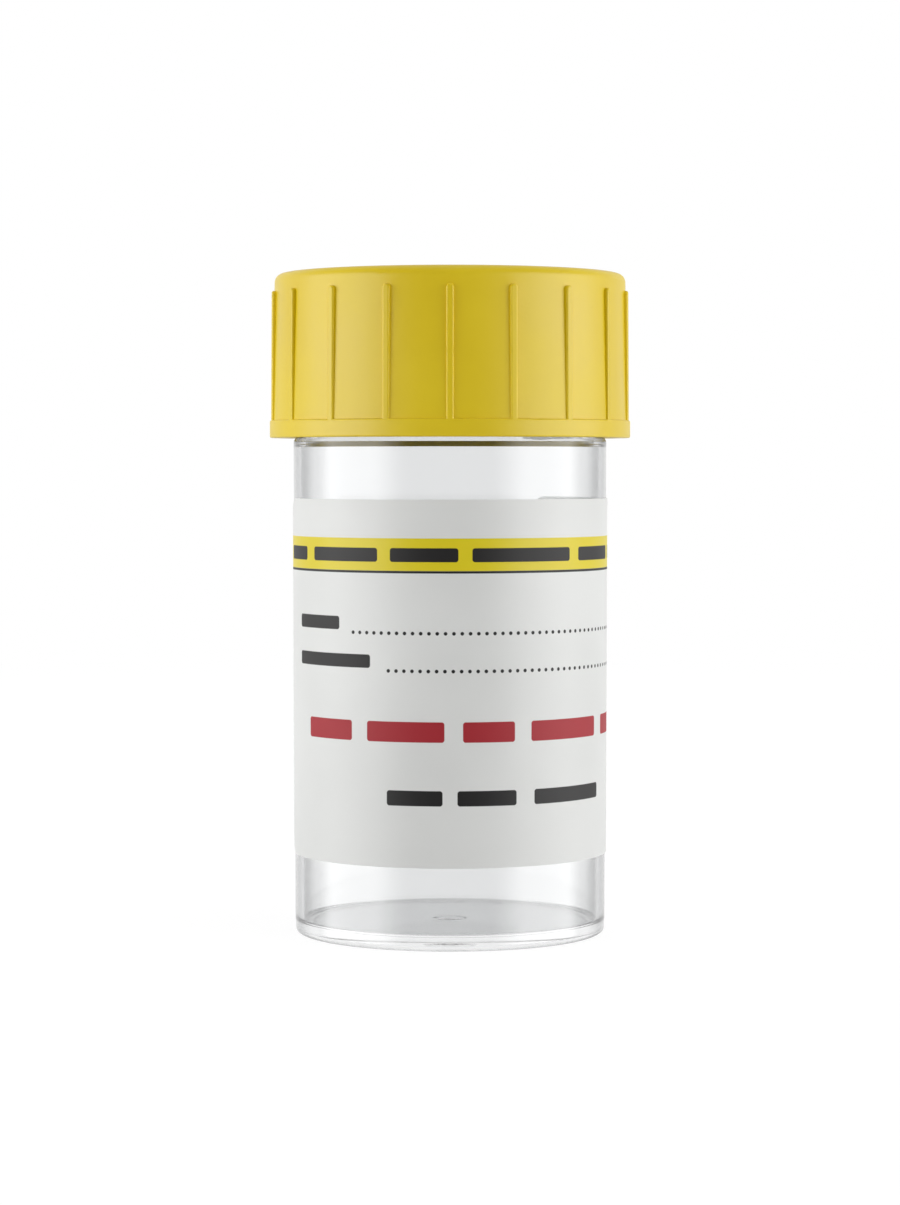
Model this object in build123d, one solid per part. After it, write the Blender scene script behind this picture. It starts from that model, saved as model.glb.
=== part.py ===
"""Straight-sided specimen container with a ribbed screw cap, a seal liner and a wrapped label.

Millimetres. +Z is up, the origin is the centre of the base, and -Y is the front of the label. The cap is
modelled closed: its thread lies under the pot's thread and the liner lies on the pot's rim.
"""
from build123d import *

import os
from math import cos, degrees, radians, sin, tan

# Pot
shoulder_radius = 17.5
shoulder_step = 0.32
shoulder_taper_height = 0.55
shoulder_edge_radius = 0.3
wall_draft = 0.12
wall_thickness_at_floor = 0.93
wall_thickness_at_shoulder = 0.81
neck_wall_thickness = 0.6
bore_step_height = 0.6
bore_step_radius = 0.3
rim_height = 70.9
rim_edge_radius = 0.2
floor_height = 1.45
floor_corner_radius = 0.5
base_step_height = 1.55
base_step = 0.05
foot_corner_radius = 0.6
foot_width = 1.5
foot_recess_depth = 0.35
foot_inner_edge_radius = 0.2
foot_recess_corner_radius = 0.3
gate_radius = 1.8
gate_draft = 0.5
gate_corner_radius = 0.3
gate_bump = 0.3
gate_dimple_depth = 0.15

# Thread, shared by the pot and the cap
thread_lead = 4.0
thread_crest_width = 0.8
thread_flank_angle = 30.0
thread_root_sink = 0.2
thread_fade_angle = 16.0
thread_depth = 0.85
thread_start_angle = -140.0
pot_thread_turns = 1.6
pot_thread_top_drop = 2.1
cap_thread_turns = 1.5
crest_clearance = 0.3
flank_clearance = 0.15

# Cap
cap_height = 18.25
cap_top_wall = 1.7
cap_wall_at_top = 1.22
cap_draft = 0.335
cap_edge_radius = 0.95
cap_shoulder_gap = 0.4
cap_mouth_chamfer = 0.4
cap_inner_corner_radius = 0.3
cap_gate_radius = 1.5
cap_gate_depth = 0.25
ring_step = 0.255
ring_height = 1.95
ring_edge_radius = 0.18
rib_count = 18
rib_width = 0.82
rib_depth_at_top = 0.48
rib_inset_at_ring = 0.02
rib_top_drop = 2.0
rib_edge_radius = 0.2

# Seal liner and the bead that holds it in the cap
liner_thickness = 1.0
liner_edge_clearance = 0.35
liner_bead_height = 0.7
liner_bead_depth = 0.55
liner_bead_crest_radius = 0.15
liner_bead_clearance = 0.15

# Label
label_thickness = 0.08
label_adhesive_gap = 0.05
label_bottom = 9.05
label_height = 39.6
label_width = 70.0
label_left_angle = -84.0
label_corner_radius = 2.0

# Worked-out places
FRONT = -90.0
cutter_margin = 0.5
liner_top = rim_height + liner_thickness
cap_top = liner_top + cap_top_wall
cap_bottom = cap_top - cap_height
shoulder_height = cap_bottom - cap_shoulder_gap
shoulder_top = shoulder_height + shoulder_taper_height
base_radius = shoulder_radius - wall_draft
bore_radius_floor = base_radius - wall_thickness_at_floor
bore_radius_shoulder = shoulder_radius - wall_thickness_at_shoulder
neck_radius = shoulder_radius - shoulder_step
bore_radius_mouth = neck_radius - neck_wall_thickness
pot_thread_radius = neck_radius + thread_depth
pot_thread_start = rim_height - pot_thread_top_drop - thread_lead * pot_thread_turns
cap_bore_radius = pot_thread_radius + crest_clearance
cap_thread_radius = neck_radius + crest_clearance
cap_radius_top = cap_bore_radius + cap_wall_at_top
cap_radius_bottom = cap_radius_top + cap_draft
ring_radius = cap_radius_bottom + ring_step
ring_top = cap_bottom + ring_height
rib_radius_top = cap_radius_top + rib_depth_at_top
rib_top = cap_top - rib_top_drop
liner_radius = cap_bore_radius - liner_edge_clearance
liner_bead_middle = rim_height - liner_bead_clearance - liner_bead_height / 2


def wall_radius(height):
    """Outer radius of the pot's tapered wall at a height."""
    return base_radius + (shoulder_radius - base_radius) * height / shoulder_height


def turned(corners):
    """Solid of revolution from (radius, height, corner radius) triples, listed in order round the section."""
    points = [(radius, 0, height) for radius, height, _ in corners]
    rounding = [corner for _, _, corner in corners]
    outline = FilletPolyline(*points, radius=rounding, close=True)
    return revolve(make_face(outline), Axis.Z)


def thread_half_width(radial_depth):
    """Half the axial width of the thread this far below its crest."""
    return thread_crest_width / 2 + radial_depth * tan(radians(thread_flank_angle))


def helical_ridge(wall, crest, middle_height, turns, start_angle):
    """Ridge that winds up round Z from the wall's radius to the crest's, with both ends faded out.

    middle_height is the height of its middle line at start_angle.
    """
    outward = 1 if crest > wall else -1
    root = wall - outward * thread_root_sink
    root_half = thread_half_width(abs(crest - root))
    crest_half = thread_crest_width / 2
    section = make_face(
        Polyline(
            (root, 0, -root_half),
            (crest, 0, -crest_half),
            (crest, 0, crest_half),
            (root, 0, root_half),
            close=True,
        )
    )
    path = Helix(pitch=thread_lead, height=thread_lead * turns, radius=wall)
    ridge = sweep(section, path=path, is_frenet=True)
    for end_angle, direction in ((0.0, 1), (360.0 * turns, -1)):
        ridge -= end_fade(wall, crest, end_angle, direction)
    return Pos(0, 0, middle_height) * Rot(0, 0, start_angle) * ridge


def end_fade(wall, crest, end_angle, direction):
    """Block whose face slants from the wall at a ridge's end up to its full crest further along."""
    inner = radians(end_angle)
    outer = radians(end_angle + direction * thread_fade_angle)
    foot = Vector(wall * cos(inner), wall * sin(inner))
    peak = Vector(crest * cos(outer), crest * sin(outer))
    along = (peak - foot).normalized()
    away = Vector(foot.X, foot.Y).normalized() * (1 if crest > wall else -1)
    reach = abs(crest - wall) + thread_lead
    start = foot - along * reach
    finish = peak + along * reach
    base = make_face(Polyline(start, finish, finish + away * reach, start + away * reach, close=True))
    block = extrude(base, thread_half_width(abs(crest - wall) + thread_root_sink) + cutter_margin, both=True)
    return Pos(0, 0, thread_lead * end_angle / 360) * block


def container_body():
    """Clear pot: drafted wall, recessed foot, thin threaded neck and a gate mark in the floor."""
    recess_radius = base_radius - base_step - foot_corner_radius - foot_width
    pot = turned(
        [
            (0, floor_height, 0),
            (bore_radius_floor, floor_height, floor_corner_radius),
            (bore_radius_shoulder, shoulder_height - bore_step_height, bore_step_radius),
            (bore_radius_mouth, shoulder_height, bore_step_radius),
            (bore_radius_mouth, rim_height, rim_edge_radius),
            (neck_radius, rim_height, rim_edge_radius),
            (neck_radius, shoulder_top, shoulder_edge_radius),
            (shoulder_radius, shoulder_height, shoulder_edge_radius),
            (wall_radius(base_step_height), base_step_height, 0),
            (wall_radius(base_step_height) - base_step, base_step_height, 0),
            (base_radius - base_step, 0, foot_corner_radius),
            (recess_radius, 0, foot_inner_edge_radius),
            (recess_radius, foot_recess_depth, foot_recess_corner_radius),
            (0, foot_recess_depth, 0),
        ]
    )
    floor_middle = (floor_height + foot_recess_depth) / 2
    bump_top = floor_height + gate_bump
    dimple_top = foot_recess_depth + gate_dimple_depth
    pot += turned(
        [
            (0, floor_middle, 0),
            (gate_radius + gate_draft, floor_middle, 0),
            (gate_radius + gate_draft, floor_height, 0),
            (gate_radius, bump_top, gate_corner_radius),
            (0, bump_top, 0),
        ]
    )
    pot -= turned(
        [
            (0, 0, 0),
            (gate_radius, 0, 0),
            (gate_radius - gate_draft, dimple_top, gate_corner_radius),
            (0, dimple_top, 0),
        ]
    )
    pot += helical_ridge(
        neck_radius, pot_thread_radius, pot_thread_start, pot_thread_turns, thread_start_angle
    )
    return pot


def screw_cap():
    """Yellow cap: drafted skirt, ring at its lower edge, ribs, inner thread and liner bead."""
    cap = turned(
        [
            (0, liner_top, 0),
            (cap_bore_radius, liner_top, cap_inner_corner_radius),
            (cap_bore_radius, cap_bottom + cap_mouth_chamfer, 0),
            (cap_bore_radius + cap_mouth_chamfer, cap_bottom, 0),
            (ring_radius, cap_bottom, ring_edge_radius),
            (ring_radius, ring_top, ring_edge_radius),
            (cap_radius_bottom, ring_top, 0),
            (cap_radius_top, cap_top, cap_edge_radius),
            (0, cap_top, 0),
        ]
    )
    cap -= Pos(0, 0, cap_top) * Cylinder(cap_gate_radius, 2 * cap_gate_depth)
    bead_half = liner_bead_height / 2
    cap += turned(
        [
            (cap_bore_radius + thread_root_sink, liner_bead_middle - bead_half, 0),
            (cap_bore_radius, liner_bead_middle - bead_half, 0),
            (cap_bore_radius - liner_bead_depth, liner_bead_middle, liner_bead_crest_radius),
            (cap_bore_radius, liner_bead_middle + bead_half, 0),
            (cap_bore_radius + thread_root_sink, liner_bead_middle + bead_half, 0),
        ]
    )
    rib = cap_rib()
    cap += [Rot(0, 0, number * 360 / rib_count) * rib for number in range(rib_count)]
    cap += cap_thread()
    return cap


def cap_rib():
    """One grip rib at the front, with a round top end, running down into the ring."""
    rib_bottom = cap_bottom + ring_height / 2
    half = rib_width / 2
    length = rib_top - half - rib_bottom
    root_radius = cap_radius_top - cap_top_wall / 2
    blank_depth = ring_radius - root_radius
    side = Plane(origin=(0, -root_radius, rib_bottom), x_dir=(1, 0, 0), z_dir=(0, -1, 0))
    face = Pos(0, length / 2) * Rectangle(rib_width, length) + Pos(0, length) * Circle(half)
    envelope = turned(
        [
            (0, rib_bottom, 0),
            (ring_radius - rib_inset_at_ring, rib_bottom, 0),
            (rib_radius_top, rib_top, 0),
            (0, rib_top, 0),
        ]
    )
    rib = extrude(side * face, blank_depth) & envelope
    outer = rib.faces().sort_by(Axis.Y)[0]
    rim = [edge for edge in outer.edges() if edge.center().Z > rib_bottom + half]
    return rib.fillet(rib_edge_radius, rim)


def cap_thread():
    """Inner thread of the closed cap, in mesh under the pot's thread."""
    crest_gap = pot_thread_radius - cap_thread_radius
    meshed_halves = thread_crest_width + crest_gap * tan(radians(thread_flank_angle))
    below = meshed_halves + flank_clearance
    start = pot_thread_start - below
    return helical_ridge(cap_bore_radius, cap_thread_radius, start, cap_thread_turns, thread_start_angle)


def seal_liner():
    """Disc that the rim presses on, held loosely in the cap above its bead."""
    return Pos(0, 0, rim_height + liner_thickness / 2) * Cylinder(liner_radius, liner_thickness)


def label():
    """Thin skin that follows the pot's tapered wall, with rounded corners at both ends."""
    top = label_bottom + label_height
    low = wall_radius(label_bottom) + label_adhesive_gap
    high = wall_radius(top) + label_adhesive_gap
    sweep_angle = degrees(label_width / wall_radius(label_bottom + label_height / 2))
    section = make_face(
        Polyline(
            (low, 0, label_bottom),
            (low + label_thickness, 0, label_bottom),
            (high + label_thickness, 0, top),
            (high, 0, top),
            close=True,
        )
    )
    skin = revolve(section, Axis.Z, revolution_arc=sweep_angle)
    for angle, turn in ((0, 1), (sweep_angle, -1)):
        for height, rise in ((label_bottom, 1), (top, -1)):
            skin -= label_corner(angle, turn, height, rise)
    return Rot(0, 0, FRONT + label_left_angle) * skin


def label_corner(angle, turn, height, rise):
    """Block that rounds the label's corner at this angle and height.

    turn is 1 where the label goes on anticlockwise from there, and rise is 1 where it goes on upwards.
    """
    outward = Vector(cos(radians(angle)), sin(radians(angle)))
    tangent = Vector(-outward.Y, outward.X) * turn
    corner = outward * wall_radius(height) + Vector(0, 0, height)
    side = label_corner_radius + cutter_margin
    middle = (label_corner_radius - cutter_margin) / 2
    up = rise * turn
    square = Pos(middle, up * middle) * Rectangle(side, side)
    rounding = Pos(label_corner_radius, up * label_corner_radius) * Circle(label_corner_radius)
    blank = Plane(origin=corner, x_dir=tangent, z_dir=outward) * (square - rounding)
    return extrude(blank, label_corner_radius, both=True)


os.makedirs("parts", exist_ok=True)
for shape, node in (
    (container_body(), "container_body"),
    (screw_cap(), "screw_cap"),
    (seal_liner(), "seal_liner"),
    (label(), "label"),
):
    export_step(shape, f"parts/{node}.step")
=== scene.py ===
"""Looks of the specimen container: finishes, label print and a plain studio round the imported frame.

Metres, in the frame of the CAD: +Z up, origin at the centre of the base, -Y at the front.
"""
import math

import bpy
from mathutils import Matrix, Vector


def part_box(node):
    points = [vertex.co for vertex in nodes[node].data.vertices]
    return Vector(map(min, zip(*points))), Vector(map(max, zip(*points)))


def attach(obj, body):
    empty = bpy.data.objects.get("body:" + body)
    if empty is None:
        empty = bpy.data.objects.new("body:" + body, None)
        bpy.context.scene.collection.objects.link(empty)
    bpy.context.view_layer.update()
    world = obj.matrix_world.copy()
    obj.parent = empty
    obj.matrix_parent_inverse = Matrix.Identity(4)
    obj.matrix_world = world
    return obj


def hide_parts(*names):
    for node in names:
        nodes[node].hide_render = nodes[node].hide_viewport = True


MM = 0.001
FULL_TURN = 360

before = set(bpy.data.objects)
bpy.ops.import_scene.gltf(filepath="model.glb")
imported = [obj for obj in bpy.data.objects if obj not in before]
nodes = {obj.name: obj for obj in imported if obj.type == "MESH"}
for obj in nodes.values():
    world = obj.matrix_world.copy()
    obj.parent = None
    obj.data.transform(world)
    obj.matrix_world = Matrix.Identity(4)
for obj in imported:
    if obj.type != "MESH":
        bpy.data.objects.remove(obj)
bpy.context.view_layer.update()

rim_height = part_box("container_body")[1].z / MM


class Value:
    """Output of a node, with the arithmetic that makes further Math nodes."""

    def __init__(self, tree, socket):
        self.tree = tree
        self.socket = socket

    def math(self, operation, *others):
        node = self.tree.nodes.new("ShaderNodeMath")
        node.operation = operation
        for slot, operand in zip(node.inputs, (self, *others)):
            if isinstance(operand, Value):
                self.tree.links.new(operand.socket, slot)
            else:
                slot.default_value = operand
        return Value(self.tree, node.outputs[0])

    def __add__(self, other):
        return self.math("ADD", other)

    def __sub__(self, other):
        return self.math("SUBTRACT", other)

    def __mul__(self, other):
        return self.math("MULTIPLY", other)

    def __truediv__(self, other):
        return self.math("DIVIDE", other)

    def size(self):
        return self.math("ABSOLUTE")

    def least(self, other):
        return self.math("MINIMUM", other)

    def most(self, other):
        return self.math("MAXIMUM", other)

    def angle(self, ahead):
        """Angle in radians from the ahead axis towards this value's own."""
        return self.math("ARCTAN2", ahead)

    def remap(self, low, high, to_low=0.0, to_high=1.0):
        """This value, carried from low..high to to_low..to_high and held there outside."""
        node = self.tree.nodes.new("ShaderNodeMapRange")
        node.interpolation_type = "SMOOTHSTEP"
        self.tree.links.new(self.socket, node.inputs["Value"])
        node.inputs["From Min"].default_value = low
        node.inputs["From Max"].default_value = high
        node.inputs["To Min"].default_value = to_low
        node.inputs["To Max"].default_value = to_high
        return Value(self.tree, node.outputs["Result"])


def ray(tree, *kinds):
    """1 for rays of any of these kinds, and 0 for the others."""
    path = tree.nodes.new("ShaderNodeLightPath")
    found = Value(tree, path.outputs[kinds[0]])
    for kind in kinds[1:]:
        found = found.most(Value(tree, path.outputs[kind]))
    return found


class Finish:
    """A material with a Principled shader, and short ways to feed it."""

    def __init__(self, name, **settings):
        self.material = bpy.data.materials.new(name)
        self.material.use_nodes = True
        self.tree = self.material.node_tree
        self.shader = self.tree.nodes["Principled BSDF"]
        for socket, value in settings.items():
            self.shader.inputs[socket.replace("_", " ")].default_value = value

    def node(self, kind, **inputs):
        """A new node of this kind, with its inputs fed by name."""
        made = self.tree.nodes.new(kind)
        for name, value in inputs.items():
            self.feed(made.inputs[name.replace("_", " ")], value)
        return made

    def feed(self, socket, value):
        if isinstance(value, Value):
            self.tree.links.new(value.socket, socket)
        elif isinstance(value, bpy.types.NodeSocket):
            self.tree.links.new(value, socket)
        else:
            socket.default_value = value

    def place(self):
        """The point in the object's own frame, in metres."""
        return self.node("ShaderNodeTexCoord").outputs["Object"]

    def split(self, vector):
        """The three parts of a vector."""
        parts = self.node("ShaderNodeSeparateXYZ", Vector=vector)
        return [Value(self.tree, output) for output in parts.outputs]

    def noise(self, scale, detail=2.0, roughness=0.5, stretch=(1.0, 1.0, 1.0)):
        """Noise with this many waves a metre, stretched along the axes."""
        mapping = self.node("ShaderNodeMapping", Vector=self.place(), Scale=stretch)
        made = self.node(
            "ShaderNodeTexNoise",
            Vector=mapping.outputs[0],
            Scale=scale,
            Detail=detail,
            Roughness=roughness,
        )
        return Value(self.tree, made.outputs["Fac"])

    def blend(self, amount, first, second):
        """Colour first where amount is 0, second where it is 1."""
        mix = self.tree.nodes.new("ShaderNodeMix")
        mix.data_type = "RGBA"
        # Its colour sockets are inputs 6 and 7 and output 2.
        self.feed(mix.inputs[0], amount)
        self.feed(mix.inputs[6], first)
        self.feed(mix.inputs[7], second)
        return mix.outputs[2]

    def bump(self, height, strength, distance):
        """Normal of a relief, where a height of 1 stands this distance out, in metres."""
        made = self.node("ShaderNodeBump", Strength=strength, Distance=distance, Height=height)
        return made.outputs[0]

    def mix_over(self, amount, shader):
        """Lays another shader over the main one by this amount."""
        output = self.tree.nodes["Material Output"]
        mix = self.tree.nodes.new("ShaderNodeMixShader")
        self.feed(mix.inputs[0], amount)
        self.tree.links.new(self.shader.outputs[0], mix.inputs[1])
        self.tree.links.new(shader.outputs[0], mix.inputs[2])
        self.tree.links.new(mix.outputs[0], output.inputs["Surface"])

    def finish(self, **links):
        """Feeds the shader's sockets and returns the material."""
        for name, value in links.items():
            self.feed(self.shader.inputs[name.replace("_", " ")], value)
        return self.material


def add(obj):
    """Puts the object in the scene."""
    bpy.context.scene.collection.objects.link(obj)
    return obj


def dress(obj, material):
    """Gives the object this one finish."""
    obj.data.materials.clear()
    obj.data.materials.append(material)


def srgb(red, green, blue):
    """Linear colour of an sRGB colour in 0..255."""
    def linear(level):
        level /= 255
        return level / 12.92 if level <= 0.04045 else ((level + 0.055) / 1.055) ** 2.4

    return (linear(red), linear(green), linear(blue), 1.0)


# Pot, in mm and degrees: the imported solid's section, apart from a shallower gate mark, turned in fine
# steps, so that the clear plastic shows no facets.
pot_steps = 288
arc_steps = 6
edge_margin = 0.05
least_flat = 3 * edge_margin
sharp_angle = 32.0
thread_row = 0.1
thread_zone_margin = 1.0

shoulder_radius = 17.5
base_radius = 17.38
neck_radius = 17.18
mouth_bore_radius = 16.58
shoulder_bore_radius = 16.69
floor_bore_radius = 16.45
shoulder_height = 54.95
shoulder_top = 55.5
bore_step_height = 0.6
floor_height = 1.45
base_step_height = 1.55
base_step = 0.05
recess_radius = 15.23
recess_depth = 0.35
rim_edge_radius = 0.2
bore_step_radius = 0.3
shoulder_edge_radius = 0.3
floor_corner_radius = 0.5
foot_corner_radius = 0.6
recess_edge_radius = 0.2
gate_radius = 1.7
gate_foot_radius = 1.95
gate_top = 1.56
gate_edge_radius = 0.3
dimple_top = 0.38
dimple_radius_top = 1.2
dimple_radius_mouth = 1.8
dimple_edge_radius = 2.0

thread_lead = 4.0
thread_turns = 1.6
thread_top_drop = 2.1
thread_depth = 0.85
thread_crest_half = 0.4
thread_flank = math.tan(math.radians(30.0))
thread_fade = 16.0
thread_start_angle = -140.0


def wall_radius(height):
    """Outer radius of the tapered wall at a height."""
    return base_radius + (shoulder_radius - base_radius) * height / shoulder_height


def arc(start, finish, middle):
    """Points of the arc from start to finish round middle."""
    sweep = (start - middle).angle(finish - middle)
    points = []
    for step in range(arc_steps + 1):
        share = step / arc_steps
        first = math.sin((1 - share) * sweep) / math.sin(sweep)
        second = math.sin(share * sweep) / math.sin(sweep)
        points.append(middle + (start - middle) * first + (finish - middle) * second)
    return points


def rounded(corners):
    """Points of an open outline of (radius, height, corner radius).

    Corners become arcs, and points close beside each corner keep the flats between them flat.
    """
    places = [Vector((radius, height)) for radius, height, _ in corners]
    points = [places[0]]
    for number in range(1, len(corners) - 1):
        here = places[number]
        fillet = corners[number][2]
        back = places[number - 1] - here
        ahead = places[number + 1] - here
        half_angle = back.angle(ahead) / 2
        tangent = fillet / math.tan(half_angle)
        start = here + back.normalized() * tangent
        finish = here + ahead.normalized() * tangent
        if back.length > tangent + least_flat:
            points.append(start + back.normalized() * edge_margin)
        if fillet:
            inward = (back.normalized() + ahead.normalized()).normalized()
            points += arc(start, finish, here + inward * (fillet / math.sin(half_angle)))
        else:
            points.append(here)
        if ahead.length > tangent + least_flat:
            points.append(finish + ahead.normalized() * edge_margin)
    points.append(places[-1])
    return points


def thread_rise(angle, height):
    """How far the thread stands out of the neck at this angle in degrees and this height."""
    start = rim_height - thread_top_drop - thread_lead * thread_turns
    rise = 0.0
    around = (angle - thread_start_angle) % FULL_TURN
    while around <= FULL_TURN * thread_turns:
        off = abs(height - start - thread_lead * around / FULL_TURN)
        flank = (thread_depth - (off - thread_crest_half) / thread_flank) / thread_depth
        fade = min(around, FULL_TURN * thread_turns - around) / thread_fade
        rise = max(rise, thread_depth * min(flank, fade, 1.0))
        around += FULL_TURN
    return rise


def pot_section():
    """Points round the pot's section, from the middle of its floor to the middle of its base.

    The second value is the range of the points that carry the thread.
    """
    low_step = wall_radius(base_step_height)
    zone_top = rim_height - thread_zone_margin
    zone_bottom = shoulder_top + thread_zone_margin
    inside = rounded(
        [
            (0, gate_top, 0),
            (gate_radius, gate_top, gate_edge_radius),
            (gate_foot_radius, floor_height, gate_edge_radius),
            (floor_bore_radius, floor_height, floor_corner_radius),
            (shoulder_bore_radius, shoulder_height - bore_step_height, bore_step_radius),
            (mouth_bore_radius, shoulder_height, bore_step_radius),
            (mouth_bore_radius, rim_height, rim_edge_radius),
            (neck_radius, rim_height, rim_edge_radius),
            (neck_radius, zone_top, 0),
        ]
    )
    rows = int((zone_top - shoulder_top - thread_zone_margin) / thread_row)
    neck = [Vector((neck_radius, zone_top - thread_row * row)) for row in range(1, rows)]
    outside = rounded(
        [
            (neck_radius, zone_bottom, 0),
            (neck_radius, shoulder_top, shoulder_edge_radius),
            (shoulder_radius, shoulder_height, shoulder_edge_radius),
            (low_step, base_step_height, 0),
            (low_step - base_step, base_step_height, 0),
            (base_radius - base_step, 0, foot_corner_radius),
            (recess_radius, 0, recess_edge_radius),
            (recess_radius, recess_depth, recess_edge_radius),
            (dimple_radius_mouth, recess_depth, dimple_edge_radius),
            (dimple_radius_top, dimple_top, dimple_edge_radius),
            (0, dimple_top, 0),
        ]
    )
    return inside + neck + outside, range(len(inside), len(inside) + len(neck))


def pot_mesh():
    """Turned pot with the thread standing on its neck, as one closed mesh."""
    section, threaded = pot_section()
    turns = [2 * math.pi * step / pot_steps for step in range(pot_steps)]
    vertices = [(0, 0, section[0].y * MM)]
    for number, point in enumerate(section[1:-1], start=1):
        for turn in turns:
            radius = point.x
            if number in threaded:
                radius += thread_rise(math.degrees(turn), point.y)
            vertices.append((radius * math.cos(turn) * MM, radius * math.sin(turn) * MM, point.y * MM))
    vertices.append((0, 0, section[-1].y * MM))
    end = len(vertices) - 1
    final_ring = end - pot_steps
    faces = []
    for step in range(pot_steps):
        other = (step + 1) % pot_steps
        faces.append((0, 1 + step, 1 + other))
        faces.append((end, final_ring + other, final_ring + step))
        for ring in range(1, final_ring, pot_steps):
            after = ring + pot_steps
            faces.append((ring + step, after + step, after + other, ring + other))
    mesh = bpy.data.meshes.new("pot")
    mesh.from_pydata(vertices, [], faces)
    mesh.validate()
    mesh.shade_smooth()
    mesh.set_sharp_from_angle(angle=math.radians(sharp_angle))
    return mesh


pot = add(bpy.data.objects.new("pot", pot_mesh()))
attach(pot, "pot")
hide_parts("container_body")

# Clear plastic: its tint, painted shade at grazing angles, where that shade sets in, and how light its shadow
# is.
clear_tint = (0.885, 0.89, 0.893, 1.0)
painted_edge_shade_colour = (0.27, 0.275, 0.28, 1.0)
painted_edge_shade_facing = (0.50, 0.80)
shadow_share_let_through = 0.97


def clear_polystyrene():
    """Clear moulding with faint smudges, flow lines and painted shade at grazing angles, whose shadow is
    light.
    """
    made = Finish("clear polystyrene", Transmission_Weight=1.0, IOR=1.59)
    smudges = made.noise(90.0, detail=4.0, stretch=(1.0, 1.0, 0.4))
    flow = made.noise(160.0, detail=1.0, stretch=(1.0, 1.0, 0.25))
    facing = Value(made.tree, made.node("ShaderNodeLayerWeight").outputs["Facing"])
    # Painted shade: the base colour darkens towards grazing angles, so the clear edges look darker.
    colour = made.blend(facing.remap(*painted_edge_shade_facing), clear_tint, painted_edge_shade_colour)
    let_through = ray(made.tree, "Is Shadow Ray") * shadow_share_let_through
    made.mix_over(let_through, made.node("ShaderNodeBsdfTransparent"))
    roughness = smudges.remap(0.3, 0.8, 0.015, 0.05)
    normal = made.bump(flow, 0.12, 0.02 * MM)
    return made.finish(Base_Color=colour, Roughness=roughness, Normal=normal)


def yellow_polyethylene():
    """Satin moulding with a fine grain and slightly uneven colour."""
    made = Finish("yellow polyethylene", IOR=1.56)
    broad = made.noise(70.0, detail=3.0)
    fine = made.noise(2600.0, detail=2.0, roughness=0.6)
    colour = made.blend(broad.remap(0.3, 0.7), srgb(230, 200, 4), srgb(236, 207, 10))
    normal = made.bump(fine, 0.25, 0.04 * MM)
    roughness = broad.remap(0.3, 0.7, 0.34, 0.42)
    return made.finish(Base_Color=colour, Roughness=roughness, Normal=normal)


def white_foam():
    """Matt foam with small cells."""
    made = Finish("white foam", IOR=1.45)
    cells = made.node("ShaderNodeTexVoronoi", Vector=made.place(), Scale=2200.0)
    depth = Value(made.tree, cells.outputs["Distance"])
    normal = made.bump(depth, 0.4, 0.08 * MM)
    colour = made.blend(depth.remap(0.2, 0.7), srgb(243, 243, 240), srgb(228, 228, 224))
    return made.finish(Base_Color=colour, Roughness=0.75, Normal=normal)


# Print of the label, in mm: along the wall from the front line, and up from the base.
# A line is (low, high), a bar is (left, right), and a row of dots is (height, left, right).
print_radius = 17.57
ink_extra_roughness = 0.18
ink_edge = 0.035
bar_corner = 0.3
band = (41.0, 44.5)
rule = (40.74, 41.0)
heading = (41.95, 43.45)
heading_bars = ((-25.0, -19.2), (-17.6, -8.1), (-6.6, 0.9), (2.4, 14.6), (16.1, 24.2), (25.7, 36.5))
captions = (
    ((34.55, 36.0), ((-21.0, -13.2),)),
    ((30.5, 31.95), ((-21.0, -9.0),)),
)
dot_pitch = 0.894
dot_radius = 0.2
dot_lines = ((34.3, -11.2, 30.0), (30.25, -6.8, 30.0))
warning = (22.6, 24.8)
warning_bars = ((-18.6, -11.4), (-9.4, -0.6), (1.4, 7.2), (9.2, 19.8), (21.8, 27.4))
date_line = (15.75, 17.4)
date_bars = ((-7.0, -0.8), (0.8, 7.4), (9.6, 20.6))


class Print:
    """Ink masks over the label, 1 where there is ink."""

    def __init__(self, made):
        across, ahead, up = made.split(made.place())
        normal = made.node("ShaderNodeTexCoord").outputs["Normal"]
        facing_across, facing_ahead, _ = made.split(normal)
        self.outside = (across * facing_across + ahead * facing_ahead).math("GREATER_THAN", 0.0)
        self.along = across.angle(ahead * -1.0) * print_radius
        self.up = up / MM

    def inked(self, gap, reach):
        """1 where the gap is under the reach, with an edge as soft as printed ink's."""
        return gap.remap(reach + ink_edge, reach - ink_edge)

    def past(self, place, low, high):
        """How far a place lies past the straight part of a bar's side from low to high."""
        return ((place - (low + high) / 2).size() - ((high - low) / 2 - bar_corner)).most(0.0)

    def stripe(self, low, high):
        """Stripe over the label's whole length."""
        return self.inked((self.up - (low + high) / 2).size(), (high - low) / 2)

    def bars(self, line, bars):
        """Row of bars with rounded corners."""
        over = self.past(self.up, *line)
        rise = over * over
        ink = None
        for bar in bars:
            beside = self.past(self.along, *bar)
            mask = self.inked((beside * beside + rise).math("SQRT"), bar_corner)
            ink = mask if ink is None else ink.most(mask)
        return ink

    def dots(self, height, left, right):
        """Row of round dots that starts at left and ends before right."""
        places = math.floor((right - left) / dot_pitch)
        number = ((self.along - left) / dot_pitch).math("ROUND").most(0.0).least(places)
        beside = self.along - left - number * dot_pitch
        over = self.up - height
        return self.inked((beside * beside + over * over).math("SQRT"), dot_radius)


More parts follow.
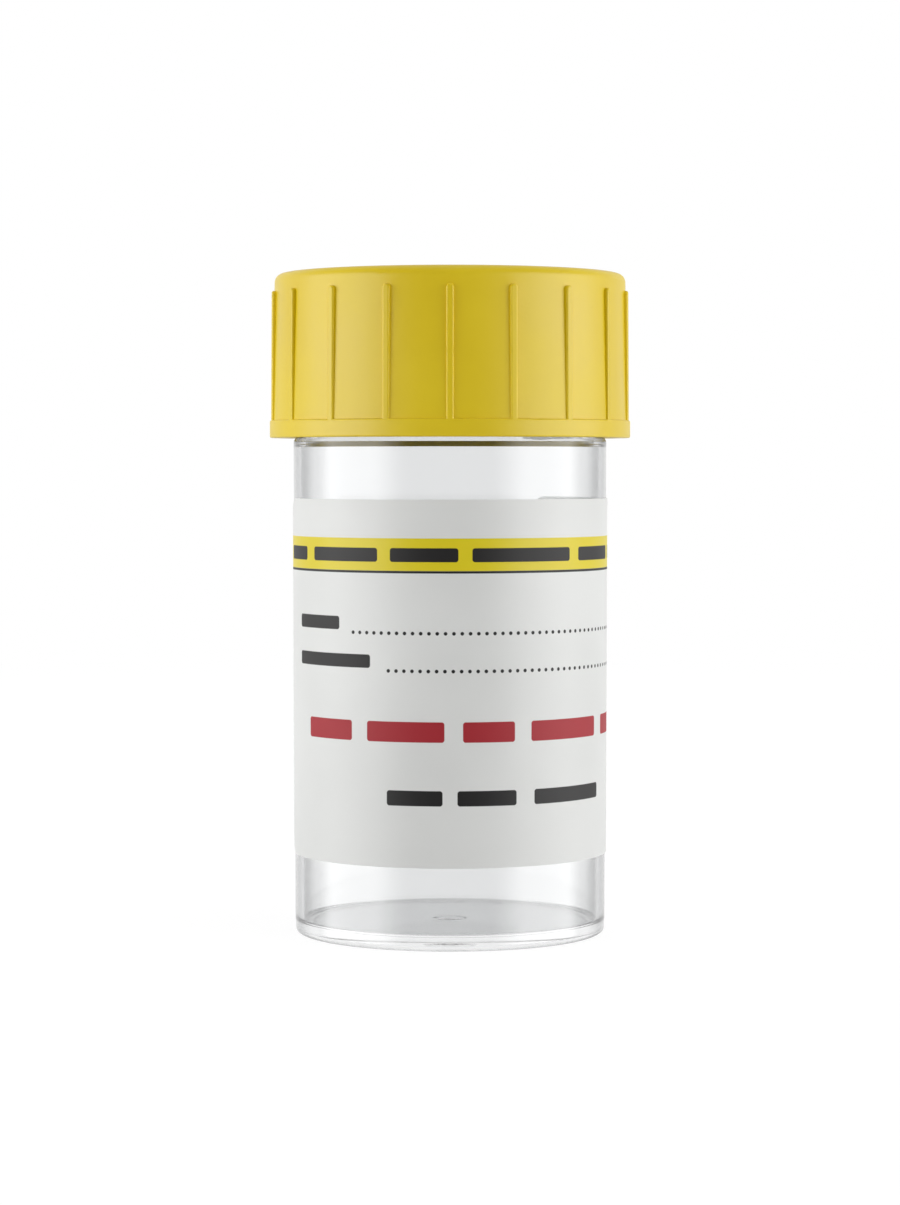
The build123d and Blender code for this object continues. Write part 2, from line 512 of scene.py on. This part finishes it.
def label_paper():
    """Coated paper, printed on its outside only."""
    made = Finish("label paper", IOR=1.5)
    fibres = made.noise(1500.0, detail=4.0, roughness=0.65)
    tone = made.noise(60.0, detail=2.0)
    ink = Print(made)
    colour = made.blend(tone.remap(0.3, 0.7), srgb(232, 233, 231), srgb(238, 239, 237))
    yellow = ink.stripe(*band) * ink.outside
    colour = made.blend(yellow, colour, srgb(232, 213, 20))
    red = ink.bars(warning, warning_bars) * ink.outside
    colour = made.blend(red, colour, srgb(172, 30, 42))
    black = ink.stripe(*rule).most(ink.bars(heading, heading_bars))
    for line, bars in (*captions, (date_line, date_bars)):
        black = black.most(ink.bars(line, bars))
    for line in dot_lines:
        black = black.most(ink.dots(*line))
    black = black * ink.outside
    colour = made.blend(black, colour, srgb(24, 22, 22))
    normal = made.bump(fibres, 0.12, 0.03 * MM)
    roughness = red.most(black) * ink_extra_roughness + tone.remap(0.3, 0.7, 0.36, 0.42)
    return made.finish(Base_Color=colour, Roughness=roughness, Normal=normal)


dress(pot, clear_polystyrene())
dress(nodes["screw_cap"], yellow_polyethylene())
dress(nodes["seal_liner"], white_foam())
dress(nodes["label"], label_paper())

# Studio, in metres, with the camera's lens and sensor in mm, and azimuth and feathers in degrees.
camera_distance = 0.3733
camera_height = 0.0525
camera_tilt = math.radians(2.39)
camera_lens = 99.49
camera_sensor = 36.0
camera_clip_start = 0.01

soft_box_radiance = 3.4
soft_box_width = 0.76
soft_box_height = 0.31
soft_box_reach = 0.42
soft_box_azimuth = 71.0
soft_box_level = 0.065
soft_box_feather_front = (28.0, 60.0)
soft_box_feather_back = (112.0, 92.0)
world_diffuse = 0.24
world_overhead = 1.1
world_glossy_front = 0.22
front_to_back = (-0.5, 0.6)
side_to_overhead = (0.75, 0.92)
light_bounces = 24
white = (1.0, 1.0, 1.0, 1.0)
floor_colour = (0.65, 0.65, 0.65, 1.0)
floor_half = 1.5
floor_near = 0.12
floor_far = 0.5
floor_glow_near = 1.25
floor_glow_share_near = 0.7

camera = add(bpy.data.objects.new("camera", bpy.data.cameras.new("camera")))
camera.location = (0.0, -camera_distance, camera_height)
camera.rotation_euler = (math.pi / 2 - camera_tilt, 0.0, 0.0)
camera.data.lens = camera_lens
camera.data.sensor_width = camera_sensor
camera.data.clip_start = camera_clip_start
bpy.context.scene.camera = camera


def soft_box(name, side):
    """Lamp at one side whose even light fades out towards its front and back ends."""
    lamp = bpy.data.lights.new(name, "AREA")
    lamp.shape = "RECTANGLE"
    lamp.size = soft_box_width
    lamp.size_y = soft_box_height
    lamp.energy = soft_box_radiance * math.pi * soft_box_width * soft_box_height
    lamp.use_nodes = True
    tree = lamp.node_tree
    glow = tree.nodes["Emission"]
    place = tree.nodes.new("ShaderNodeSeparateXYZ")
    tree.links.new(tree.nodes.new("ShaderNodeNewGeometry").outputs["Position"], place.inputs[0])
    across, ahead, _ = (Value(tree, output) for output in place.outputs)
    around = across.size().angle(ahead * -1.0) * math.degrees(1.0)
    fade_front = around.remap(*soft_box_feather_front)
    fade_back = (around * -1.0).remap(*(-edge for edge in soft_box_feather_back))
    tree.links.new((fade_front * fade_back).socket, glow.inputs["Strength"])
    obj = add(bpy.data.objects.new(name, lamp))
    azimuth = math.radians(soft_box_azimuth)
    x = side * soft_box_reach * math.sin(azimuth)
    y = -soft_box_reach * math.cos(azimuth)
    obj.location = (x, y, soft_box_level)
    obj.rotation_euler = (Vector((0, 0, soft_box_level)) - obj.location).to_track_quat("-Z", "Y").to_euler()
    obj.visible_camera = False
    obj.visible_transmission = False


soft_box("soft box left", -1)
soft_box("soft box right", 1)


def studio_world():
    """White where it is seen, dim as a light except overhead, and dimmer to the front in reflections."""
    world = bpy.data.worlds.new("studio")
    world.use_nodes = True
    tree = world.node_tree
    background = tree.nodes["Background"]
    direction = tree.nodes.new("ShaderNodeSeparateXYZ")
    tree.links.new(tree.nodes.new("ShaderNodeTexCoord").outputs["Generated"], direction.inputs[0])
    _, to_back, to_top = (Value(tree, output) for output in direction.outputs)
    behind = to_back.remap(*front_to_back, world_glossy_front, 1.0)
    overhead = to_top.remap(*side_to_overhead, world_diffuse, world_overhead)
    seen = ray(tree, "Is Camera Ray", "Is Transmission Ray")
    strength = (ray(tree, "Is Glossy Ray") * (behind - overhead) + overhead).most(seen)
    background.inputs["Color"].default_value = white
    tree.links.new(strength.socket, background.inputs["Strength"])
    return world


def floor_finish():
    """Pale floor that looks white, and fades into the white background further out."""
    made = Finish("floor", Base_Color=floor_colour, Roughness=0.9)
    across, ahead, _ = made.split(made.place())
    away = (across * across + ahead * ahead).math("SQRT")
    glow = away.remap(floor_near, floor_far, floor_glow_near, 1.0)
    share = away.remap(floor_near, floor_far, floor_glow_share_near, 1.0)
    light = made.node("ShaderNodeEmission", Color=white, Strength=glow)
    made.mix_over(ray(made.tree, "Is Camera Ray", "Is Transmission Ray") * share, light)
    return made.finish()


bpy.context.scene.world = studio_world()

corners = [(side * floor_half, end * floor_half, 0) for side, end in ((-1, -1), (1, -1), (1, 1), (-1, 1))]
floor_mesh = bpy.data.meshes.new("floor")
floor_mesh.from_pydata(corners, [], [(0, 1, 2, 3)])
floor_mesh.materials.append(floor_finish())
floor = add(bpy.data.objects.new("floor", floor_mesh))
floor.visible_glossy = False

bpy.context.scene.view_settings.view_transform = "Standard"
bpy.context.scene.cycles.max_bounces = light_bounces
bpy.context.scene.cycles.glossy_bounces = light_bounces
bpy.context.scene.cycles.transmission_bounces = light_bounces
